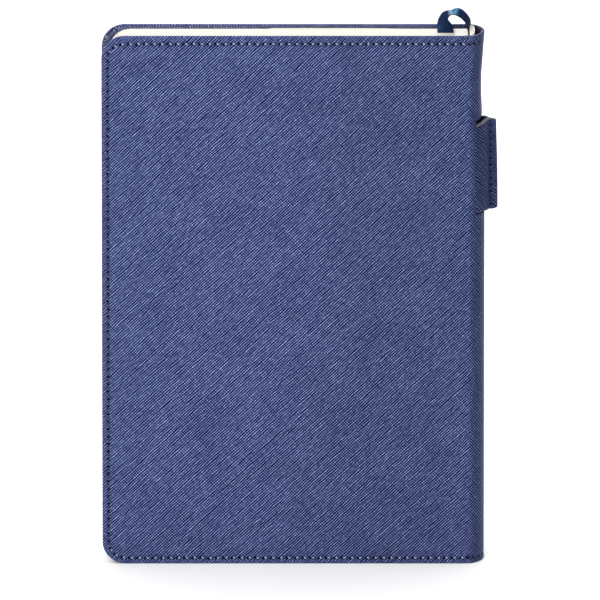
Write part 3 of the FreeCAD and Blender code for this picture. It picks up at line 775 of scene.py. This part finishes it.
def cover_seam(side):
    """The stitches on a cover's outer face and on its inner one, over the sleeve and the lining."""
    word = WORDS[side]
    places = paced(seam_path(), STITCH_PITCH)
    out = (0, side, 0)
    holes = [(x, side * FACE, z) for x, z in places]
    outer = stitches(f"{word}_seam_threads", holes, [out] * len(holes))
    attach(outer, f"{word}_cover")
    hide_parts(f"{word}_cover_stitches")
    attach(needle_holes(f"{word}_seam_holes", holes, [out] * len(holes)), f"{word}_cover")

    def depth(x):
        return SLEEVE_DEPTH + SLEEVE_THICK if x < sleeve_high.x - 1 else SLEEVE_DEPTH
    inner_holes = [(x, side * (FACE - depth(x) + 0.1), z) for x, z in places if abs(x - sleeve_high.x) > 1]
    pairs = [(a, b) for a, b in zip(inner_holes, inner_holes[1:]) if math.dist(a, b) < 1.5 * STITCH_PITCH]
    inside = stitch_pairs(f"{word}_inner_threads", pairs, (0, -side, 0))
    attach(inside, f"{word}_cover")


def stitch_pairs(name, pairs, out):
    """Separate stitches between pairs of holes that need not follow each other."""
    made = [stitches(f"{name}_{number}", pair, [out, out], sunk=0.02) for number, pair in enumerate(pairs)]
    return joined(name, made)


def spine_seam():
    """The seam goes on round the spine at the head and the tail."""
    count = round(2 * SPINE_RADIUS * SPINE_ANGLE / STITCH_PITCH)
    curve = spine_curve(SPINE_RADIUS, True)
    all_holes, all_outs = [], []
    for word, z in (("tail", SEAM_TAIL), ("head", SEAM_HEAD)):
        holes, outs = [], []
        for step in range(count + 1):
            (x, y), (nx, ny) = curve(-SPINE_ANGLE + 2 * SPINE_ANGLE * step / count, z)
            holes.append((x, y, z))
            outs.append((nx, ny, 0))
        item = stitches(f"spine_{word}_threads", holes, outs, painted_highlight=0.15)
        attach(item, "spine")
        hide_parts("spine_stitches")
        all_holes += holes
        all_outs += outs
    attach(needle_holes("spine_seam_holes", all_holes, all_outs), "spine")


# Pen loop -----------------------

LOOP_WALL = 0.9
LOOP_FRAYED = 1.7  # cut ends are rough and look thicker than the wall
LOOP_CENTRE = (FORE + 142.29, 1.85)  # of the bowed wall of the back half
LOOP_RADIUS = 9.93
LOOP_ROOT, LOOP_SHOULDER = 7.15, 1.3  # where the wall starts and stops, from the middle plane
LOOP_HOLLOW = 6.0, 1.0  # the same for its inner side
LOOP_PINCH, LOOP_NECK = FORE + 151.3, FORE + 152.0


def loop_half(z):
    """The outline of the loop's back half, from its root in the slit to the flap's end, and back along
    its inner side. Leather is never quite even, so the wall swells a little at mid height."""
    share = (z - loop_low.z) / (loop_high.z - loop_low.z)
    swell = 0.22 * math.sin(math.pi * share) + 0.1 * math.sin(5.1 * share + 0.8)
    flap_end = loop_high.x - 0.55 * share + 0.12 * math.sin(4.0 * share)
    centre_x, centre_y = LOOP_CENTRE

    def bowed(radius, start, end, count):
        """The wall from one distance from the middle plane to another."""
        points = []
        for step in range(count + 1):
            half = start + (end - start) * step / count
            bow = swell * math.sin(math.pi * step / count)
            points.append((centre_x + math.sqrt(radius ** 2 - (half + centre_y) ** 2) + bow,
                           -half - bow * 0.4))
        return points
    outer = bowed(LOOP_RADIUS, LOOP_ROOT, LOOP_SHOULDER, 14)
    shoulder = outer[-1]
    for step in range(1, 5):
        turn = step / 5
        rise = math.sin(math.pi / 2 * turn)
        outer.append((shoulder[0] + (LOOP_NECK - shoulder[0]) * turn,
                      shoulder[1] + (-LOOP_WALL - shoulder[1]) * rise))
    flap = [(LOOP_NECK, -LOOP_WALL), (LOOP_NECK + 0.45, -LOOP_WALL + 0.12), (LOOP_NECK + 0.9, -LOOP_WALL)]
    flap += [(flap_end - LOOP_WALL, -LOOP_WALL)]
    for step in range(1, 6):
        angle = math.pi / 2 * step / 5
        flap.append((flap_end - LOOP_WALL + LOOP_WALL * math.sin(angle), -LOOP_WALL * math.cos(angle)))
    inner = bowed(LOOP_RADIUS - LOOP_FRAYED, *LOOP_HOLLOW, 12)
    inner.append((LOOP_PINCH, 0.0))
    return outer + flap, inner


def loop_lift(x, share):
    """How far the strip's cut ends bend out of level; share is 0 at the tail end and 1 at the head end."""
    head = 1.3 * smooth(FORE + 146.5, FORE + 151.5, x) - 0.4 - 0.45 * smooth(LOOP_NECK, loop_high.x, x)
    tail = 0.7 * smooth(LOOP_NECK + 1.4, loop_high.x, x) - 0.35 * smooth(LOOP_NECK - 2, LOOP_NECK, x)
    return head * share + tail * (1 - share)


def pen_loop():
    """One strip of leather: its ends are in the slits and its middle is pinched into a stitched flap."""
    height = loop_high.z - loop_low.z
    levels = [(0.0, 0.14), (0.1, 0.04), (0.3, 0.0)] + [(height * step / 14, 0.0) for step in range(1, 14)]
    levels += [(height - 0.3, 0.0), (height - 0.1, 0.04), (height, 0.14)]
    points, grain = [], []
    for rise, shrink in levels:
        z = loop_low.z + rise
        outer, inner = loop_half(z)
        back = outer + [(x, -y) for x, y in outer[-2::-1]]
        hollow = [(x, -y) for x, y in inner] + inner[-2::-1]
        ring = back + hollow
        count = len(ring)
        run = COVER_LENGTH + 4.0
        for place, (x, y) in enumerate(ring):
            ax, ay = ring[place - 1]
            bx, by = ring[(place + 1) % count]
            along = Vector((bx - ax, by - ay)).normalized()
            x, y = x - along.y * shrink, y + along.x * shrink
            lift = loop_lift(x, rise / height)
            if place >= len(back) and rise > height - 0.35:
                lift += 0.5
            points.append((x, y, z + lift))
            run += math.dist(ring[place - 1], ring[place]) if place else 0.0
            grain.append((run, z))
    slots = []
    for (_, below), (_, above) in zip(levels, levels[1:]):
        slots += [1 if min(below, above) > 0.03 else 0] * count
    slots += [1, 1]
    # Painted shade: the strip is painted darker, and the flap past its neck a little less.
    shade = [0.32 - 0.12 * smooth(LOOP_NECK - 1, LOOP_NECK + 0.5, x) for x, _, _ in points]
    item = face_outwards(build("pen_loop_skin", points, tube(0, len(levels), count), [HIDE, RAW_END],
                               grain, slots, shade))
    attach(item, "spine")
    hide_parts("pen_loop")

    seam_x = LOOP_NECK + 0.45
    steps = round((height - 3.0) / 2.7)
    heights = [loop_low.z + 1.5 + (height - 3.0) * step / steps for step in range(steps + 1)]
    for side in (BACK, FRONT):
        holes = [(seam_x, side * (LOOP_WALL - 0.02), z) for z in heights[::-1]]
        out = [(0, side, 0)] * len(holes)
        threads = stitches(f"pen_loop_{WORDS[side]}_threads", holes, out, sunk=0.06, painted_highlight=0.0)
        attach(threads, "spine")
        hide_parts("pen_loop_stitches")
        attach(needle_holes(f"pen_loop_{WORDS[side]}_holes", holes, out, sunk=0.06, radius=0.42), "spine")


# Refill -------------------------

LEAVES = 7
LEAF_GAP = 0.012
PAGE_CORNER = 8.0
ROLL_RISE = 1.45  # the rolled end stands this much above the CAD's plain one
TAB_END, WING_BEND = FORE + 66.0, FORE + 138.0
GUTTER_COLUMNS = [0.8, 1.6, 2.6, 3.8, 5.2, 6.8, 8.6, 10.6, 12.8, 15.2, 18.0, 22.0]


def signature(number):
    """A sewn bundle of leaves with extra columns near the gutter; the leaves differ a little in width."""
    node = f"signature_{number}"
    low, high = box_mm(node)
    side = FRONT if low.y > 0 else BACK
    outer = max(abs(low.y), abs(high.y))
    pitch = (high.y - low.y) / LEAVES
    leaves = []
    for leaf in range(LEAVES):
        trim = chance.uniform(0.0, 0.22)
        section = [(0.0, pitch - LEAF_GAP), (0.0, 0.0)]
        outline = (low.x + trim, high.x, low.z + trim * 0.1, high.z - trim * 0.1, PAGE_CORNER)
        columns = even_columns(high.x - low.x - trim, PAGE_CORNER, 12.0, GUTTER_COLUMNS)
        leaves.append(panel(f"{node}_leaf_{leaf}", side, FACE - outer + pitch * leaf, section, outline,
                            [PAGE, PAGE_EDGE], columns, edge_slot=1))
    bundle = joined(f"{node}_leaves", leaves)
    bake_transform(bundle)
    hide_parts(node)


def refill_spine():
    """The oval roll of card that backs the refill."""
    centre_x = (roll_low.x + roll_high.x) / 2
    half_x, half_y = (roll_high.x - roll_low.x) / 2, roll_high.y
    levels = [(0.0, 0.25), (0.08, 0.08), (0.25, 0.0)]
    height = roll_high.z - roll_low.z + ROLL_RISE
    levels += [(height * step / 6, 0.0) for step in range(1, 6)]
    levels += [(height - 0.25, 0.0), (height - 0.08, 0.08), (height, 0.2), (height, 0.4), (height - 0.1, 0.5),
               (height - 0.45, 0.52)]
    sides = 40
    points = []
    for rise, shrink in levels:
        for place in range(sides):
            angle = 2 * math.pi * place / sides
            points.append((centre_x + (half_x - shrink) * math.cos(angle),
                           (half_y - shrink) * math.sin(angle), roll_low.z + rise))
    outside, core = sides * (len(levels) - 3), sides * 2
    slots = [0] * outside + [1] * core + [0, 1]
    item = face_outwards(build("refill_spine_roll", points, tube(0, len(levels), sides), [CARD, CORE],
                               face_slots=slots))
    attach(item, "spine")
    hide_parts("refill_spine")


def refill_card(side):
    """The refill's card wing: its tab is in the sleeve and its other side bends to the refill's spine."""
    word = WORDS[side]
    low, high = box_mm(f"refill_{word}_card")
    near_y, far_y = sorted((abs(low.y), abs(high.y)))
    end_x = roll_low.x + 0.5
    columns = [low.x + (TAB_END - 0.01 - low.x) * step / 6 for step in range(7)]
    columns += [TAB_END + (WING_BEND - TAB_END) * step / 8 for step in range(9)]
    columns += [WING_BEND + (end_x - WING_BEND) * step / 8 for step in range(1, 9)]
    points, grain = [], []
    for x in columns:
        dip = 0.1 + 0.45 * smooth(end_x - 45, end_x - 10, x)
        bottom, top = (TAIL + 4.8, HEAD - 4.8) if x < TAB_END else (low.z, high.z - dip)
        sink = 0.28 * smooth(end_x - 3, end_x, x)
        for y, z in ((far_y, bottom), (far_y, top), (near_y, top), (near_y, bottom)):
            points.append((x, side * (y - sink), z))
            grain.append((x - FORE, z))
    faces = tube(0, len(columns), 4)
    item = face_outwards(build(f"refill_{word}_card_sheet", points, faces, [CARD], grain))
    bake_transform(item)
    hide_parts(f"refill_{word}_card")


# Ribbon -------------------------

# Control points of the ribbon's middle line, in metres.
RIBBON_ROUTE = [
    (0.06619, 0, 0.2006), (0.0662, 0, 0.2093), (0.06619, 0, 0.2181), (0.0660, 0, 0.2216),
    (0.0620, 0, 0.2256), (0.0570, 0, 0.2242), (0.0564, 0, 0.2210), (0.0570, 0, 0.2176),
    (0.0572, 0, 0.2135), (0.0570, 0, 0.2060), (0.0566, 0, 0.1920), (0.0571, 0, 0.1660),
    (0.0562, 0, 0.1280), (0.0570, 0, 0.0910), (0.0563, 0, 0.0540), (0.0569, 0, 0.0180),
]
RIBBON_WIDTH = ribbon_high.y - ribbon_low.y
RIBBON_THICK = 0.25
RIBBON_LEAN = math.radians(14)  # over the head it leans to the back cover
RIBBON_LEANING = (0.0, 3.5)  # runs beyond the pages' head over which it leans,
RIBBON_LEVELLING = (9.5, 13.0)  # comes level again
RIBBON_TURNING = (12.5, 22.5)  # and turns flat to the pages


def route_points(name, route):
    """Points of the smooth line that a route's control points make."""
    curve = bpy.data.curves.new(name, "CURVE")
    curve.dimensions = "3D"
    spline = curve.splines.new("NURBS")
    spline.points.add(len(route) - 1)
    for point, place in zip(spline.points, route):
        point.co = (*place, 1.0)
    spline.order_u = 3
    spline.use_endpoint_u = True
    spline.resolution_u = 12
    holder = placed(name, curve)
    bpy.context.view_layer.update()
    line = bpy.data.meshes.new_from_object(holder)
    points = [vertex.co.copy() for vertex in line.vertices]
    bpy.data.objects.remove(holder)
    bpy.data.meshes.remove(line)
    bpy.data.curves.remove(curve)
    return points


def ribbon():
    """A satin ribbon that leaves the refill's spine edge-on and turns flat to the pages."""
    path = route_points("ribbon_route", RIBBON_ROUTE)
    steps = [b - a for a, b in zip(path, path[1:])]
    directions = [(a.normalized() + b.normalized()).normalized() for a, b in zip(steps, steps[1:])]
    directions = [steps[0].normalized(), *directions, steps[-1].normalized()]
    across = Vector((0, 1, 0))
    offsets = [-1.0, -0.82, -0.4, 0.0, 0.4, 0.82, 1.0]
    points, grain = [], []
    run = path[0].z / MM - page_high.z
    for number, (place, along) in enumerate(zip(path, directions)):
        run += steps[number - 1].length / MM if number else 0.0
        twist = RIBBON_LEAN * (smooth(*RIBBON_LEANING, run) - smooth(*RIBBON_LEVELLING, run))
        twist += math.pi / 2 * smooth(*RIBBON_TURNING, run)
        wide = across * math.cos(twist) + across.cross(along) * math.sin(twist)
        thick = along.cross(wide)
        for lift in (0.5, -0.5):
            for offset in offsets:
                points.append(place / MM + wide * offset * RIBBON_WIDTH / 2 + thick * lift * RIBBON_THICK)
                grain.append((offset * RIBBON_WIDTH / 2, run))
    width = len(offsets)
    ring = list(range(width)) + list(range(2 * width - 1, width - 1, -1))
    faces = []
    for number in range(len(path) - 1):
        first, after = number * 2 * width, (number + 1) * 2 * width
        for a, b in zip(ring, ring[1:] + ring[:1]):
            faces.append((first + a, first + b, after + b, after + a))
    faces += [ring, [(len(path) - 1) * 2 * width + place for place in ring[::-1]]]
    item = face_outwards(build("ribbon", points, faces, [SATIN], grain))
    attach(item, "spine")
    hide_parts("ribbon_marker")


# Stage --------------------------

ELEVATION = math.radians(18.3)
LENS, SENSOR = 1500.0, 36.0
VIEW_WIDTH = 235.2  # millimetres across the picture at the book


def look(item, place, direction):
    """Puts a camera or a light in its place, in metres, and points it."""
    item.location = place
    item.rotation_mode = "QUATERNION"
    item.rotation_quaternion = direction.to_track_quat("-Z", "Y")


def camera():
    data = bpy.data.cameras.new("camera")
    data.lens, data.sensor_width = LENS, SENSOR
    back = Vector((0, -math.cos(ELEVATION), math.sin(ELEVATION)))
    distance = VIEW_WIDTH * LENS / SENSOR
    target = Vector((0.12, -FACE, HEAD - 108.35))
    data.clip_start, data.clip_end = 0.1, 40.0
    item = placed("camera", data)
    look(item, (target + back * distance) * MM, -back)
    bpy.context.scene.camera = item


def floor():
    """A round white floor that reaches past the picture."""
    finish = Finish("studio_floor", roughness=0.75, Specular_IOR_Level=0.1)
    cloud = finish.noise(finish.node("ShaderNodeTexCoord").outputs["Object"], 1.5, 2.0)
    surface = finish.surface(finish.ramp(cloud, (0.3, (0.95, 0.95, 0.95, 1)), (0.7, (0.97, 0.97, 0.97, 1))))
    reach, sides = 12000.0, 48
    points = []
    for place in range(sides):
        angle = 2 * math.pi * place / sides
        points.append((reach * math.cos(angle), reach * math.sin(angle), 0))
    item = build("floor", points, [list(range(sides))], [surface])


def area_light(name, place, target, size, watts, colour=(1, 1, 1)):
    data = bpy.data.lights.new(name, "AREA")
    data.shape, data.size, data.energy, data.color = "DISK", size, watts, colour
    look(placed(name, data), place, Vector(target) - Vector(place))


def lights():
    middle = (0, 0, 0.1)
    area_light("key", (-0.56, -0.99, 1.28), middle, 0.93, 13.1)
    area_light("top", (0.1, 0.3, 2.4), middle, 2.0, 18, (1.0, 0.98, 0.96))
    area_light("rim", (0.17, 1.87, 1.46), (0.06, 0, 0.22), 0.4, 18, (0.9, 0.98, 1.0))
    world = bpy.data.worlds.new("studio")
    world.use_nodes = True
    tree = world.node_tree
    background = tree.nodes["Background"]
    place = tree.nodes.new("ShaderNodeTexCoord")
    parts = tree.nodes.new("ShaderNodeSeparateXYZ")
    ramp = tree.nodes.new("ShaderNodeMapRange")
    ramp.inputs["From Min"].default_value, ramp.inputs["From Max"].default_value = -0.8, 0.9
    ramp.inputs["To Min"].default_value, ramp.inputs["To Max"].default_value = 0.95, 0.6
    tree.links.new(place.outputs["Generated"], parts.inputs[0])
    tree.links.new(parts.outputs["X"], ramp.inputs["Value"])
    tree.links.new(ramp.outputs["Result"], background.inputs["Strength"])
    background.inputs["Color"].default_value = (1, 0.995, 0.98, 1)
    bpy.context.scene.world = world
    bpy.context.scene.view_settings.view_transform = "Standard"


camera()
ribbon()
for cover_side in (BACK, FRONT):
    cover_panels(cover_side)
    folds(cover_side)
    sleeve(cover_side)
    cover_seam(cover_side)
    refill_card(cover_side)
spine_pieces()
spine_seam()
pen_loop()
refill_spine()
for signature_number in range(1, 9):
    signature(signature_number)

for node_name, finish_made in (("back_cover_board", BOARD), ("front_cover_board", BOARD),
                               ("page_gutter", GUTTER_EDGE), ("spine_mull", MULL),
                               ("sewing_thread", THREAD_LINEN)):
    node_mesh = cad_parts[node_name].data
    node_mesh.materials.clear()
    node_mesh.materials.append(finish_made)
floor()
lights()

bpy.context.view_layer.update()
